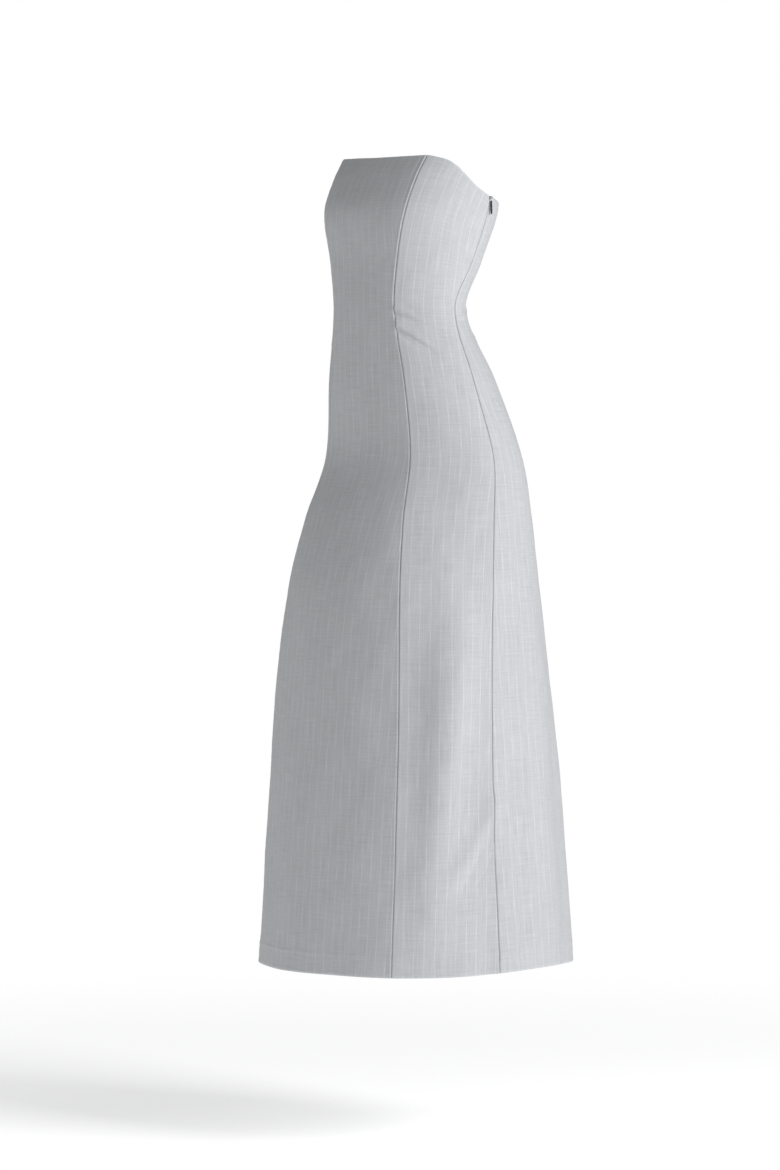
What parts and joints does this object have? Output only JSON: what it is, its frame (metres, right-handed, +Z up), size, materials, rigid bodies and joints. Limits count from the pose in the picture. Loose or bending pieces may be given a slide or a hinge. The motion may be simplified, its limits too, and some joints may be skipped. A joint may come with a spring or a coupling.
{
  "type": "strapless dress",
  "caption": "Strapless A-line midi dress in grey pinstriped suiting, hollow in its worn form, with full-length princess seams and a side zip whose pull tab swings.",
  "frame": {"origin": "On the figure's upright axis at the full bust, where the top band of the bodice grips and holds the dress up", "axes": "+Z up, -Y out of the front, +X to the dress's own left, the side with the zip"},
  "size_m": [0.4888, 0.4427, 1.1926],
  "materials": {
    "suiting": "matt light grey melange suiting with fine paler pinstripes",
    "zip_tape": "matt grey woven tape with a nylon coil",
    "zip_metal": "dark gunmetal enamel"
  },
  "bodies": {
    "dress": {"front_centre": "suiting", "side_front_left": "suiting", "side_front_right": "suiting", "back_left": "suiting", "back_right": "suiting", "zip_tape": "zip_tape", "zip_slider": "zip_metal"},
    "pull_tab": {"zip_pull": "zip_metal"}
  },
  "joints": [
    {"name": "zip_pull_hinge", "type": "hinge", "parent": "dress", "child": "pull_tab", "pos_m": [0.13665, 0.03675, 0.01898], "axis": [0.2954, -0.9554, 0], "range_deg": [0, 160]}
  ]
}
